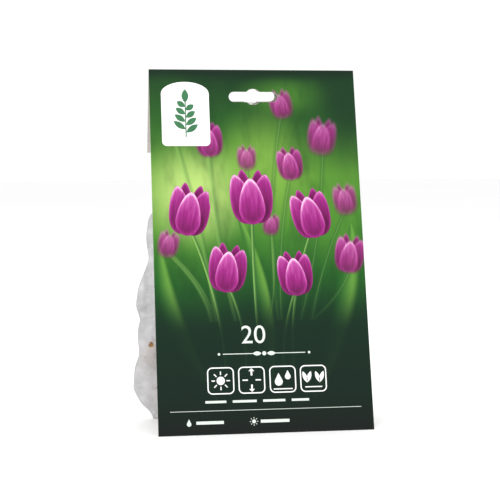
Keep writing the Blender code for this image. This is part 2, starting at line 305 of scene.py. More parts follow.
def stalk_group():
    """A stem, or with taper 1 a leaf blade, from a bottom point up to a top point."""
    tree, given, result = node_group(
        "stalk",
        [("Point", "Vector", (0, 0, 0)), ("Bottom", "Vector", (0, 0, 0)), ("Top", "Vector", (0, 0, 0)),
         ("Bend", "Float", 0.0), ("Width", "Float", 1.0), ("Taper", "Float", 0.0), ("Blur", "Float", 0.2)],
        ["Mask", "Side"],
    )
    point, bottom, top, bend, width, taper, blur = (given.outputs[i] for i in range(7))
    here = node(tree, "SeparateXYZ", {0: point}).outputs
    low = node(tree, "SeparateXYZ", {0: bottom}).outputs
    high = node(tree, "SeparateXYZ", {0: top}).outputs
    share = node(tree, "MapRange", {0: here[1], 1: low[1], 2: high[1], 3: 0.0, 4: 1.0}).outputs[0]
    line = node(tree, "Mix", {0: share, 2: low[0], 3: high[0]}).outputs[0]
    hump = maths(tree, "MULTIPLY", maths(tree, "MULTIPLY", share, maths(tree, "SUBTRACT", 1.0, share)), 4.0)
    line = maths(tree, "MULTIPLY_ADD", hump, bend, line)
    slim = maths(tree, "POWER", maths(tree, "MAXIMUM", hump, 0.0001), maths(tree, "MULTIPLY", taper, 0.7))
    reach = maths(tree, "MULTIPLY", width, slim)
    side = maths(tree, "DIVIDE", maths(tree, "SUBTRACT", here[0], line), reach)
    body = smooth(tree, maths(tree, "ABSOLUTE", side), maths(tree, "SUBTRACT", 1.0, blur),
                  maths(tree, "ADD", 1.0, blur), 1.0, 0.0)
    below_top = maths(tree, "LESS_THAN", here[1], high[1])
    above_bottom = maths(tree, "GREATER_THAN", here[1], low[1])
    mask = maths(tree, "MULTIPLY", maths(tree, "MULTIPLY", body, below_top), above_bottom)
    tree.links.new(mask, result.inputs["Mask"])
    tree.links.new(side, result.inputs["Side"])
    return tree


def glow(tree, point, colour, over, place, reach, strength):
    """A large soft patch of one colour over what is below it."""
    off = vector_maths(tree, "SUBTRACT", point, (*place, 0))
    scaled = stretched(tree, off, (1 / reach[0], 1 / reach[1], 0))
    distance = node(tree, "VectorMath", {0: scaled}, operation="LENGTH").outputs["Value"]
    return mix(tree, smooth(tree, distance, 0.1, 1.0, strength, 0.0), over, colour)


# The print's blooms, far, nearer and sharp: across, up, size in millimetres and turn.
FAR_BLOOMS = (
    (-52, 196, 9.0, 0.1), (18, 212, 9.5, -0.2), (44, 190, 12.0, 0.15), (-6, 176, 8.0, 0.0),
    (57, 148, 10.0, -0.1), (-58, 120, 8.5, 0.2), (8, 132, 7.0, 0.1),
)
NEAR_BLOOMS = ((-30, 188, 11.5, -0.1), (58, 112, 12.5, 0.16), (22, 172, 11.0, -0.12))
SHARP_BLOOMS = (
    (-44, 142, 17.0, 0.16), (-4, 150, 18.1, -0.04), (34, 139, 16.4, -0.2),
    (-21, 104, 15.8, 0.12), (22, 100, 14.6, -0.1),
)
BLOOM_TONES = (
    (0.12, srgb(58, 8, 46)), (0.38, srgb(118, 20, 92)), (0.62, srgb(164, 52, 138)),
    (0.82, srgb(200, 104, 176)), (1.0, srgb(238, 200, 226)),
)
DEEP_GREEN = srgb(15, 56, 36)
PRINT_GAMMA = 1.22


def print_ground(tree, point, height):
    """The picture's soft background: greens that change up the card, with bright and dark patches."""
    drift = cloud(tree, stretched(tree, point, (0.020, 0.006, 1)), 1.0, 2.0)
    drifting = maths(tree, "ADD", height, maths(tree, "MULTIPLY_ADD", drift, 60.0, -30.0))
    colour = ramp(
        tree, maths(tree, "DIVIDE", drifting, 295.0),
        (0.0, srgb(22, 36, 30)), (0.10, srgb(14, 52, 36)), (0.22, srgb(20, 68, 38)),
        (0.34, srgb(44, 104, 42)), (0.44, srgb(84, 140, 56)), (0.56, srgb(100, 150, 62)),
        (0.66, srgb(56, 108, 46)), (0.78, srgb(24, 66, 36)), (1.0, srgb(16, 50, 34)),
    )
    colour = glow(tree, point, srgb(188, 214, 132), colour, (-40, 152), (46, 42), 0.95)
    colour = glow(tree, point, srgb(150, 190, 90), colour, (6, 168), (40, 50), 0.6)
    colour = glow(tree, point, srgb(96, 150, 60), colour, (20, 218), (38, 18), 0.6)
    colour = glow(tree, point, srgb(18, 60, 36), colour, (62, 210), (34, 56), 0.8)
    haze = cloud(tree, stretched(tree, point, (0.05, 0.018, 1)), 1.0, 3.0, 0.6)
    return mix(tree, smooth(tree, haze, 0.45, 0.75, 0.0, 0.5), colour, srgb(24, 74, 36))


def print_blades(tree, stalk, point, colour):
    """Three blurred leaf blades: foot, tip, bend, width and blur."""
    blades = (
        ((-30, 20, 0), (-64, 120, 0), -8, 5.0, 0.5),
        ((30, 20, 0), (60, 132, 0), 7, 5.5, 0.55),
        ((4, 30, 0), (-14, 140, 0), 6, 4.0, 0.35),
    )
    for foot, tip, bend, width, blur in blades:
        inputs = {"Point": point, "Bottom": foot, "Top": tip, "Bend": bend, "Width": width, "Blur": blur}
        blade = use_group(tree, stalk, {**inputs, "Taper": 1.0})
        tone = mix(tree, smooth(tree, blade["Side"], -1.0, 1.0), srgb(58, 118, 52), srgb(128, 176, 84))
        colour = mix(tree, maths(tree, "MULTIPLY", blade["Mask"], 0.75), colour, tone)
    return colour


def print_stems(tree, stalk, point, colour, blooms, sharp):
    """A stem below each bloom, thin and bright where it is sharp, wide and faint where it is blurred."""
    foot, width, blur, strength = (40, 0.95, 0.25, 0.95) if sharp else (70, 1.5, 0.9, 0.45)
    look = {"Point": point, "Width": width, "Taper": 0.0, "Blur": blur}
    mask, side = None, None
    for x, y, size, turn in blooms:
        ends = {"Bottom": (x * 0.55, foot, 0), "Top": (x, y - 0.7 * size, 0), "Bend": 25 * turn}
        stem = use_group(tree, stalk, {**look, **ends})
        if mask is None:
            mask, side = stem["Mask"], stem["Side"]
        else:
            side = node(tree, "Mix", {0: stem["Mask"], 2: side, 3: stem["Side"]}).outputs[0]
            mask = maths(tree, "MAXIMUM", mask, stem["Mask"])
    tone = mix(tree, smooth(tree, side, -1.0, 1.0), srgb(150, 190, 110), srgb(62, 112, 58))
    return mix(tree, maths(tree, "MULTIPLY", mask, strength), colour, tone)


def print_picture(tree, point):
    """The generic picture: cup-shaped purple blooms before soft greens."""
    height = node(tree, "SeparateXYZ", {0: point}).outputs[1]
    bloom, stalk = bloom_group(), stalk_group()
    colour = print_blades(tree, stalk, point, print_ground(tree, point, height))
    layers = (
        (FAR_BLOOMS, 0.75, 0.85, False),
        (NEAR_BLOOMS, 0.32, 0.92, False),
        (SHARP_BLOOMS, 0.05, 1.0, True),
    )
    for blooms, blur, strength, sharp in layers:
        colour = print_stems(tree, stalk, point, colour, blooms, sharp)
        head = use_group(tree, bloom, {"Local": local_point(tree, point, blooms), "Blur": blur})
        tone = ramp(tree, head["Shade"], *BLOOM_TONES)
        colour = mix(tree, maths(tree, "MULTIPLY", head["Mask"], strength), colour, tone)
    dark = ramp(tree, maths(tree, "DIVIDE", height, 100.0),
                (0.0, srgb(27, 34, 31)), (0.22, srgb(17, 46, 35)), (0.8, DEEP_GREEN))
    colour = mix(tree, smooth(tree, height, 62.0, 96.0, 0.97, 0.0), colour, dark)
    colour = mix(tree, smooth(tree, height, 226.0, 236.0, 0.0, 0.9), colour, srgb(15, 48, 32))
    return node(tree, "Gamma", {0: colour, 1: PRINT_GAMMA}).outputs[0]


def print_material():
    """The card's printed, satin varnished outside."""
    made, tree, shader, where = new_material("printed_board")
    point = node(tree, "UVMap", uv_map="print").outputs[0]
    tree.links.new(print_picture(tree, point), shader.inputs["Base Color"])
    grain = cloud(tree, where, 900.0, 3.0)
    shader.inputs["Roughness"].default_value = 0.34
    shader.inputs["Specular IOR Level"].default_value = 0.18
    tree.links.new(relief(tree, grain, 0.06, 0.0002), shader.inputs["Normal"])
    return made


def board_material():
    """The unprinted grey-white inside of the board, with its fibres."""
    made, tree, shader, where = new_material("bare_board")
    fibres = cloud(tree, stretched(tree, where, (1, 1, 3)), 420.0, 5.0, 0.7)
    flecks = cloud(tree, where, 60.0, 3.0)
    tone = mix(tree, smooth(tree, fibres, 0.35, 0.65), srgb(190, 186, 176), srgb(208, 205, 197))
    tone = mix(tree, smooth(tree, flecks, 0.4, 0.7, 0.0, 0.4), tone, srgb(182, 177, 165))
    tree.links.new(tone, shader.inputs["Base Color"])
    shader.inputs["Roughness"].default_value = 0.82
    tree.links.new(relief(tree, fibres, 0.2, 0.0003), shader.inputs["Normal"])
    return made


def edge_material():
    """The cut edge of the board: white layers with a darker core."""
    made, tree, shader, where = new_material("cut_edge")
    layers = cloud(tree, stretched(tree, where, (1, 6, 6)), 700.0, 3.0)
    tree.links.new(mix(tree, layers, srgb(214, 211, 202), srgb(240, 239, 234)), shader.inputs["Base Color"])
    shader.inputs["Roughness"].default_value = 0.8
    return made


def ink_material(name, low, high):
    """Pale ink, a little uneven, as printed on varnished board."""
    made, tree, shader, where = new_material(name)
    mottle = cloud(tree, where, 380.0, 3.0, 0.6)
    tree.links.new(mix(tree, mottle, srgb(*low), srgb(*high)), shader.inputs["Base Color"])
    shader.inputs["Roughness"].default_value = 0.38
    return made


def floor_material():
    """Matt white studio floor."""
    made, tree, shader, where = new_material("studio_floor")
    tone = mix(tree, cloud(tree, where, 3.0, 2.0), srgb(247, 247, 247), srgb(250, 250, 250))
    tree.links.new(tone, shader.inputs["Base Color"])
    shader.inputs["Roughness"].default_value = 0.6
    return made


def film_material():
    """Milky film: partly clear, partly glowing through, with soft clouding and a waxy shine."""
    made, tree, shader, where = new_material("film")
    milk = cloud(tree, where, 45.0, 4.0, 0.6)
    fine = cloud(tree, where, 420.0, 3.0, 0.6)
    tone = mix(tree, milk, srgb(206, 206, 208), srgb(240, 240, 241))
    tree.links.new(tone, shader.inputs["Base Color"])
    shader.inputs["Roughness"].default_value = 0.30
    shader.inputs["IOR"].default_value = 1.5
    tree.links.new(relief(tree, maths(tree, "ADD", milk, maths(tree, "MULTIPLY", fine, 0.12)), 0.35, 0.0006),
                   shader.inputs["Normal"])
    glow_through = node(tree, "BsdfTranslucent", {"Color": tone})
    clear = node(tree, "BsdfTransparent")
    cloudy = node(tree, "MixShader", {0: 0.45, 1: shader.outputs[0], 2: glow_through.outputs[0]})
    share = smooth(tree, milk, 0.3, 0.7, 0.44, 0.24)
    film = node(tree, "MixShader", {0: share, 1: cloudy.outputs[0], 2: clear.outputs[0]})
    tree.links.new(film.outputs[0], tree.nodes["Material Output"].inputs["Surface"])
    return made


def skin_material(name, dark, mid, light):
    """Dry papery bulb skin, with fibres along the bulb and paler worn patches."""
    made, tree, shader, where = new_material(name)
    along = node(tree, "Attribute", attribute_name="grain").outputs["Vector"]
    fibres = cloud(tree, stretched(tree, along, (1, 1, 0.12)), 26.0, 5.0, 0.65)
    patches = cloud(tree, where, 160.0, 3.0, 0.6)
    tone = ramp(tree, fibres, (0.25, srgb(*dark)), (0.5, srgb(*mid)), (0.75, srgb(*light)))
    tone = mix(tree, smooth(tree, patches, 0.5, 0.72, 0.0, 0.7), tone, srgb(214, 182, 122))
    tone = mix(tree, smooth(tree, patches, 0.42, 0.28, 0.0, 0.75), tone, srgb(74, 42, 26))
    tree.links.new(tone, shader.inputs["Base Color"])
    shader.inputs["Roughness"].default_value = 0.62
    tree.links.new(relief(tree, fibres, 0.5, 0.0005), shader.inputs["Normal"])
    return made


# ---- Mesh help ----

def add_piece(name, mesh, replaced=(), body="root"):
    """A finished piece: rides on the body and stands for CAD nodes."""
    piece = bpy.data.objects.new(name, mesh)
    bpy.context.scene.collection.objects.link(piece)
    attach(piece, body)
    if replaced:
        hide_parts(*replaced)
    return piece


def evaluated_mesh(holder):
    """The holder's mesh with its modifiers done; the holder is removed."""
    depsgraph = bpy.context.evaluated_depsgraph_get()
    mesh = bpy.data.meshes.new_from_object(holder.evaluated_get(depsgraph))
    bpy.data.objects.remove(holder)
    return mesh


def arc(centre, radius, start, end, steps):
    """Points of an arc, angles in degrees."""
    angles = np.radians(np.linspace(start, end, steps + 1))
    return [(centre[0] + radius * math.cos(a), centre[1] + radius * math.sin(a)) for a in angles]


# ---- The card ----

def outer_path():
    """Points up the printed face, over the fold and down the flap, with the way there along the board."""
    turns = 10
    points = [(FOOT, OUT, 0.0), (FOOT + PANEL * UP, OUT, PANEL)]
    start, end = math.pi - LEAN, FLARE
    for i in range(1, turns + 1):
        angle = start + (end - start) * i / turns
        way = PANEL + FOLD_RADIUS * (start - angle)
        normal = Vector((0, math.cos(angle), math.sin(angle)))
        points.append((FOLD_CENTRE + FOLD_RADIUS * normal, normal, way))
    last, normal, way = points[-1]
    points.append((last + FLAP * DOWN, normal, way + FLAP))
    return points


def slot_punch(middle, along, normal):
    """A cutter in the shape of the hang slot, square to the panel."""
    eye = math.degrees(math.asin(SLOT_END_RADIUS / SLOT_EYE_RADIUS))
    outline = (
        arc((SLOT_REACH, 0), SLOT_END_RADIUS, -90, 90, 16)
        + arc((0, 0), SLOT_EYE_RADIUS, eye, 180 - eye, 16)
        + arc((-SLOT_REACH, 0), SLOT_END_RADIUS, 90, 270, 16)
        + arc((0, 0), SLOT_EYE_RADIUS, 180 + eye, 360 - eye, 16)
    )
    bm = bmesh.new()
    ends = []
    for depth in (-3, 3):
        places = [Vector((x, 0, 0)) + y * along + depth * normal for x, y in outline]
        ends.append([bm.verts.new(middle + MM * place) for place in places])
    bm.faces.new(ends[0])
    bm.faces.new(reversed(ends[1]))
    for i in range(len(outline)):
        j = (i + 1) % len(outline)
        bm.faces.new((ends[0][i], ends[1][i], ends[1][j], ends[0][j]))
    bmesh.ops.recalc_face_normals(bm, faces=bm.faces)
    for face in bm.faces:
        face.material_index = 2
    mesh = bpy.data.meshes.new("punch")
    bm.to_mesh(mesh)
    bm.free()
    punch = bpy.data.objects.new("punch", mesh)
    bpy.context.scene.collection.objects.link(punch)
    return punch


def make_card():
    """The folded board: print outside, bare board inside, white cut edges, slot through both layers."""
    bm = bmesh.new()
    uv = bm.loops.layers.uv.new("print")
    path = outer_path()
    rows = []
    for place, normal, way in path:
        row = []
        for depth in (0.0, BOARD):
            for side in (-0.5, 0.5):
                x = Vector((side * WIDTH, 0, 0))
                row.append((bm.verts.new(place - depth * normal + x), (side * WIDTH / MM, way / MM)))
        rows.append(row)
    layout = (((0, 1), 0), ((3, 2), 1), ((1, 3), 2), ((2, 0), 2))
    for low, high in zip(rows, rows[1:]):
        for (a, b), kind in layout:
            corners = (low[a], low[b], high[b], high[a])
            face = bm.faces.new([c[0] for c in corners])
            face.material_index = kind
            for loop, corner in zip(face.loops, corners):
                loop[uv].uv = corner[1]
    for row, order in ((rows[0], (1, 0, 2, 3)), (rows[-1], (0, 1, 3, 2))):
        bm.faces.new([row[i][0] for i in order]).material_index = 2
    bmesh.ops.recalc_face_normals(bm, faces=bm.faces)
    mesh = bpy.data.meshes.new("card_board")
    bm.to_mesh(mesh)
    bm.free()
    for surface in (print_material(), board_material(), edge_material()):
        mesh.materials.append(surface)
    holder = bpy.data.objects.new("card_holder", mesh)
    bpy.context.scene.collection.objects.link(holder)
    punches = [
        slot_punch(FOOT + (PANEL - SLOT_DROP) * UP, UP, OUT),
        slot_punch(FOOT + PANEL * UP + SLOT_DROP * DOWN, DOWN, FLAP_NORMAL),
    ]
    for punch in punches:
        cut = holder.modifiers.new("slot", "BOOLEAN")
        cut.operation = "DIFFERENCE"
        cut.solver = "EXACT"
        cut.object = punch
    cut_mesh = evaluated_mesh(holder)
    for punch in punches:
        bpy.data.objects.remove(punch)
    add_piece("card_board", cut_mesh, ["card"])


make_camera()
make_studio()
make_card()

# ---- The bulbs ----

def bulb_axis(name):
    """Base, tip and largest radius of a CAD bulb, from its mesh."""
    points = np.array([v.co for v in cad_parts[name].data.vertices])
    middle = (points.min(0) + points.max(0)) / 2
    spread = np.linalg.eigh(np.cov((points - points.mean(0)).T))[1]
    axis = spread[:, -1]
    along = (points - middle) @ axis
    radius = np.linalg.norm(points - middle - along[:, None] * axis, axis=1)
    low_end, high_end = radius[along < along.min() + 0.003].max(), radius[along > along.max() - 0.003].max()
    if high_end > low_end:
        axis, along = -axis, -along
    return middle + along.min() * axis, middle + along.max() * axis, radius.max()


AXES = {name: bulb_axis(name) for name in BULBS}


def bulb_shape(s):
    """Radius as a share of the largest, at a share s of the length from base to tip."""
    body = math.sin(math.pi * min(s * 0.98 + 0.075, 1.0) ** 0.86) ** 0.62
    return max(body * (1 - 0.62 * s ** 3), 0.17 * (1 - s) + 0.05)


def make_bulb(name, number, skin):
    """One bulb: ribbed papery skin, a drawn-out dry tip and a rough root plate."""
    base, tip, radius = AXES[name]
    length = np.linalg.norm(tip - base)
    turn = Vector(tip - base).to_track_quat("Z", "X").to_matrix()
    sides, rings = 40, 26
    bm = bmesh.new()
    grain = bm.verts.layers.float_vector.new("grain")
    loops = []
    for k in range(rings + 1):
        s = k / rings
        loop = []
        for i in range(sides):
            angle = 2 * math.pi * i / sides
            spot = Vector((math.cos(angle) * 2.2, math.sin(angle) * 2.2, s * 3 + 7.3 * number))
            ribs = noise.noise(Vector((spot.x * 3.2, spot.y * 3.2, number)))
            rib = 0.025 * ribs * math.sin(math.pi * s) ** 0.5
            dent = 0.05 * noise.noise(spot * 0.8)
            r = radius * bulb_shape(s) * (0.985 + rib + dent)
            point = Vector((r * math.cos(angle) + 0.0003 * s ** 3, r * math.sin(angle), length * s))
            vert = bm.verts.new(turn @ point + Vector(base))
            vert[grain] = spot
            loop.append(vert)
        loops.append(loop)
    for low, high in zip(loops, loops[1:]):
        for i in range(sides):
            j = (i + 1) % sides
            bm.faces.new((low[i], low[j], high[j], high[i]))
    for loop, way in ((loops[0], -1), (loops[-1], 1)):
        centre = bm.verts.new(sum((v.co for v in loop), Vector()) / sides)
        centre[grain] = loop[0][grain]
        for i in range(sides):
            bm.faces.new((loop[i], loop[(i + 1) % sides], centre)[::way])
    mesh = bpy.data.meshes.new(name + "_skin")
    bm.to_mesh(mesh)
    bm.free()
    mesh.shade_smooth()
    mesh.materials.append(skin)
    add_piece(name + "_skin", mesh, [name])


def make_bulbs():
    skins = [
        skin_material("brown_skin", (82, 48, 30), (132, 84, 52), (176, 130, 84)),
        skin_material("tawny_skin", (112, 68, 34), (168, 116, 62), (206, 164, 98)),
        skin_material("dark_skin", (58, 34, 26), (98, 60, 42), (140, 98, 68)),
    ]
    for number, name in enumerate(BULBS):
        make_bulb(name, number, skins[number % len(skins)])


make_bulbs()

# ---- The bag ----

def edge_at(table, heights):
    """A smooth curve through (height, place) rows, in millimetres."""
    rows = np.array(table, float)
    return np.mean([np.interp(heights + shift, rows[:, 0], rows[:, 1]) for shift in (-2, -1, 0, 1, 2)], axis=0)


def waves(across, up, scale_x, scale_z, seed):
    """Smooth noise over the sheet, about -1 to 1."""
    places = [Vector((x * scale_x, z * scale_z, seed)) for x, z in zip(across.ravel(), up.ravel())]
    return 1.6 * np.array([noise.noise(place) for place in places]).reshape(across.shape)


def creases(across, up, scale, seed):
    """Sharp-edged facets, as in crumpled film, 0 to about 1."""
    places = [Vector((x * scale, z * scale * 0.8, seed)) for x, z in zip(across.ravel(), up.ravel())]
    nearest = np.array([noise.voronoi(place)[0][:2] for place in places])
    return (nearest[:, 1] - nearest[:, 0]).reshape(across.shape)


def bulb_reach(x, z, middle, way):
    """How far the bulbs stand out of the middle sheet towards one side, over the whole sheet."""
    reach = np.full(x.shape, -1.0)
    for base, tip, radius in AXES.values():
        for k in range(11):
            s = k / 10
            centre, r = base + s * (tip - base), radius * bulb_shape(s) + FILM_OVER_BULB
            gap = r ** 2 - (x - centre[0]) ** 2 - (z - centre[2]) ** 2
            stand = way * (centre[1] - middle) + np.sqrt(np.maximum(gap, 0))
            reach = np.where(gap > 0, np.maximum(reach, stand), reach)
    return reach


def stretched_over(reach, puff, rounds=500):
    """A film pulled taut over what is inside it, held at its edges and puffed out a little."""
    film = np.maximum(reach, WELD_HALF)
    for _ in range(rounds):
        around = film[:-2, 1:-1] + film[2:, 1:-1] + film[1:-1, :-2] + film[1:-1, 2:]
        film[1:-1, 1:-1] = 0.25 * around + puff[1:-1, 1:-1]
        film = np.maximum(film, reach)
    return film


def sheet_grid():
    """Across and up, in millimetres, of the sheet's grid points, with rows closer together near the floor."""
    heights = BAG_TOP * np.linspace(0, 1, SHEET_ROWS) ** ROW_CROWDING
    left, right = edge_at(LEFT_EDGE, heights)[:, None], edge_at(RIGHT_EDGE, heights)[:, None]
    across = left + (right - left) * np.linspace(0, 1, SHEET_COLUMNS)
    up = np.repeat(heights[:, None], SHEET_COLUMNS, axis=1)
    rim = np.minimum(np.minimum(across - left, right - across) / 9.0, 1.0).clip(0, 1)
    return across, up, rim


def bag_sheets():
    """The bag's front and back layers as grids of points: rows go up, columns go across."""
    across, up, rim = sheet_grid()
    slack = np.interp(up, (0, 20, 60, 120, 165, 172), (0.1, 0.5, 0.8, 1.0, 0.5, 0.0))
    folds = waves(across, up, 0.085, 0.022, 3.1) + 0.5 * waves(across, up, 0.21, 0.05, 8.4)
    middle = edge_at(MIDDLE_SHEET, up[:, 0])[:, None] + slack * 2.2 * folds
    middle += 1.2 * (1 - rim) * slack * waves(across, up, 0.02, 0.11, 5.7)
    x, z, middle = MM * across + FOOT.x, MM * up, MM * middle + FOOT.y
    card_back = FOOT.y + z * math.tan(LEAN) + 0.0008 / math.cos(LEAN)
    crumple = creases(across, up, 0.085, 2.0) + 0.45 * creases(across, up, 0.19, 9.0)
    crumple *= 0.0016 * rim * (0.35 + slack) * np.interp(up, (0, 6, 168, 176), (0, 1, 1, 0))
    puff = 0.0000035 * np.interp(up, (0, 30, 80, 150, 175), (0.3, 1.0, 1.2, 0.6, 0.0))
    sheets = []
    for way, clearance in ((-1, 0.0), (1, 0.0004)):
        film = stretched_over(bulb_reach(x, z, middle, way), puff) + crumple
        film += 0.0003 * rim * slack * (1 + waves(across, up, 0.5, 0.3, 4.0 + way))
        y = np.maximum(middle + way * film, card_back + clearance)
        sheets.append(np.stack([x, y, z], axis=-1))
    return sheets


def cell_mesh():
    """One cell of the perforated film, with two round holes, staggered."""
    bm = bmesh.new()
    step_x, step_y = CELL[0] / 8, CELL[1] / 16
    grid = {(i, j): bm.verts.new((i * step_x, j * step_y, 0)) for i in range(9) for j in range(17)}
    for i in range(8):
        for j in range(16):
            in_hole = 2 <= j < 6 if i < 4 else 10 <= j < 14
            if not in_hole:
                bm.faces.new((grid[i, j], grid[i + 1, j], grid[i + 1, j + 1], grid[i, j + 1]))
    for i0, j0 in ((0, 2), (4, 10)):
        rim = (
            [(i0 + k, j0) for k in range(4)] + [(i0 + 4, j0 + k) for k in range(4)]
            + [(i0 + 4 - k, j0 + 4) for k in range(4)] + [(i0, j0 + 4 - k) for k in range(4)]
        )
        centre = Vector(((i0 + 2) * step_x, (j0 + 2) * step_y, 0))
        loops = [[grid[key] for key in rim]]
        for radius in (HOLE * 0.58, HOLE * 0.5):
            loops.append([bm.verts.new(centre + radius * (v.co - centre).normalized()) for v in loops[0]])
        for big, small in zip(loops, loops[1:]):
            for k in range(len(rim)):
                n = (k + 1) % len(rim)
                bm.faces.new((big[k], big[n], small[n], small[k]))
    mesh = bpy.data.meshes.new("film_cell")
    bm.to_mesh(mesh)
    bm.free()
    return mesh


def perforation_nodes():
    """Repeats a cell over a grid of columns and rows into one joined sheet."""
    tree = bpy.data.node_groups.new("perforated_sheet", "GeometryNodeTree")
    face = tree.interface
    face.new_socket("Geometry", in_out="INPUT", socket_type="NodeSocketGeometry")
    face.new_socket("Cell", in_out="INPUT", socket_type="NodeSocketObject")
    for name, kind in (("Columns", "Int"), ("Rows", "Int"), ("Width", "Float"), ("Height", "Float")):
        face.new_socket(name, in_out="INPUT", socket_type="NodeSocket" + kind)
    face.new_socket("Film", in_out="INPUT", socket_type="NodeSocketMaterial")
    face.new_socket("Geometry", in_out="OUTPUT", socket_type="NodeSocketGeometry")
    given, result = tree.nodes.new("NodeGroupInput"), tree.nodes.new("NodeGroupOutput")
    links = tree.links

    def line(count, step, axis):
        points = tree.nodes.new("GeometryNodeMeshLine")
        links.new(given.outputs[count], points.inputs["Count"])
        offset = tree.nodes.new("ShaderNodeCombineXYZ")
        links.new(given.outputs[step], offset.inputs[axis])
        links.new(offset.outputs[0], points.inputs["Offset"])
        return points.outputs[0]

    def repeat(points, instance):
        copies = tree.nodes.new("GeometryNodeInstanceOnPoints")
        links.new(points, copies.inputs["Points"])
        links.new(instance, copies.inputs["Instance"])
        return copies.outputs[0]

    cell = tree.nodes.new("GeometryNodeObjectInfo")
    links.new(given.outputs["Cell"], cell.inputs["Object"])
    row = repeat(line("Columns", "Width", "X"), cell.outputs["Geometry"])
    sheet = repeat(line("Rows", "Height", "Y"), row)
    real = tree.nodes.new("GeometryNodeRealizeInstances")
    joined = tree.nodes.new("GeometryNodeMergeByDistance")
    joined.inputs["Distance"].default_value = 0.01
    painted = tree.nodes.new("GeometryNodeSetMaterial")
    links.new(sheet, real.inputs[0])
    links.new(real.outputs[0], joined.inputs[0])
    links.new(joined.outputs[0], painted.inputs["Geometry"])
    links.new(given.outputs["Film"], painted.inputs["Material"])
    links.new(painted.outputs[0], result.inputs[0])
    return tree


def perforated_sheet(film):
    """The flat perforated film, CELL columns and rows, in millimetres."""
    cell = bpy.data.objects.new("film_cell", cell_mesh())
    holder = bpy.data.objects.new("film_sheet", bpy.data.meshes.new("film_sheet"))
    for made in (cell, holder):
        bpy.context.scene.collection.objects.link(made)
    tree = perforation_nodes()
    repeat = holder.modifiers.new("perforations", "NODES")
    repeat.node_group = tree
    wanted = {
        "Cell": cell, "Columns": CELLS[0], "Rows": CELLS[1], "Width": CELL[0], "Height": CELL[1], "Film": film,
    }
    for item in tree.interface.items_tree:
        if item.in_out == "INPUT" and item.name in wanted:
            repeat[item.identifier] = wanted[item.name]
    mesh = evaluated_mesh(holder)
    bpy.data.objects.remove(cell)
    return mesh


def lay_over(mesh, sheet, mirrored):
    """Moves the flat film's points onto a grid of points; mirrored, so that two layers' holes don't line up."""
    flat = np.array([v.co for v in mesh.vertices])
    share = (flat[:, 0] / (CELL[0] * CELLS[0])).clip(0, 1)
    u = (1 - share if mirrored else share) * (SHEET_COLUMNS - 1)
    v = (flat[:, 1] / (CELL[1] * CELLS[1])).clip(0, 1) ** (1 / ROW_CROWDING) * (SHEET_ROWS - 1)
    i, j = np.minimum(u.astype(int), SHEET_COLUMNS - 2), np.minimum(v.astype(int), SHEET_ROWS - 2)
    s, t = (u - i)[:, None], (v - j)[:, None]
    low = sheet[j, i] * (1 - s) + sheet[j, i + 1] * s
    high = sheet[j + 1, i] * (1 - s) + sheet[j + 1, i + 1] * s
    mesh.vertices.foreach_set("co", (low * (1 - t) + high * t).ravel())
    mesh.update()


def make_bag():
    """The bag's two layers of perforated film, welded along the sides and the bottom."""
    film = film_material()
    front, back = bag_sheets()
    for name, sheet, mirrored in (("bag_front_film", front, False), ("bag_back_film", back, True)):
        mesh = perforated_sheet(film)
        lay_over(mesh, sheet, mirrored)
        holder = bpy.data.objects.new(name, mesh)
        bpy.context.scene.collection.objects.link(holder)
        skin = holder.modifiers.new("film", "SOLIDIFY")
        skin.thickness = FILM
        skin.offset = 0
        solid = evaluated_mesh(holder)
        solid.shade_smooth()
        add_piece(name, solid, ["bag"] if name == "bag_front_film" else [])


make_bag()

# ---- The print's figures: label, numeral, badges, rules and the flap's diagram ----

INK = 0.00003


def board_point(x, way, lift):
    """A point on the print: x across and way along the board, in millimetres, lifted off it in metres."""
    if way <= PANEL / MM:
        return FOOT + Vector((MM * x, 0, 0)) + MM * way * UP + lift * OUT
    down = MM * way - PANEL - FOLD_RADIUS * (math.pi - LEAN - FLARE)
    return FOLD_CENTRE + Vector((MM * x, 0, 0)) + (FOLD_RADIUS + lift) * FLAP_NORMAL + down * DOWN


def holder_mesh(data):
    """The mesh of a curve or text."""
    holder = bpy.data.objects.new("figure", data)
    bpy.context.scene.collection.objects.link(holder)
    bpy.context.view_layer.update()
    return evaluated_mesh(holder)


def shape_faces(outlines):
    """Flat faces, in millimetres, of closed outlines; an outline inside another is a hole."""
    curve = bpy.data.curves.new("figure", "CURVE")
    curve.dimensions = "2D"
    curve.fill_mode = "BOTH"
    for outline in outlines:
        spline = curve.splines.new("POLY")
        spline.points.add(len(outline) - 1)
        for point, (x, y) in zip(spline.points, outline):
            point.co = (x, y, 0, 1)
        spline.use_cyclic_u = True
    return holder_mesh(curve)


def numeral(text, x, y, height):
    """A generic plain number, as a flat mesh with its lower left corner at x, y."""
    data = bpy.data.curves.new("numeral", "FONT")
    data.body = text
    data.size = height * 1.4
    mesh = holder_mesh(data)
    mesh.transform(Matrix.Translation((x, y, 0)))
    return mesh


def disc(x, y, radius, count=24):
    """A round dot's outline."""
    turns = [2 * math.pi * i / count for i in range(count)]
    return [(x + radius * math.cos(a), y + radius * math.sin(a)) for a in turns]


def bar(x, y, end_x, end_y, width):
    """A straight stroke's outline."""
    along = Vector((end_x - x, end_y - y)).normalized() * width / 2
    return [
        (x - along.y, y + along.x), (x + along.y, y - along.x),
        (end_x + along.y, end_y - along.x), (end_x - along.y, end_y + along.x),
    ]


def rays(x, y, start, end, width):
    """The eight rays round a sun, as bars."""
    ways = [(math.cos(k * math.pi / 4), math.sin(k * math.pi / 4)) for k in range(8)]
    return [bar(x + start * c, y + start * s, x + end * c, y + end * s, width) for c, s in ways]


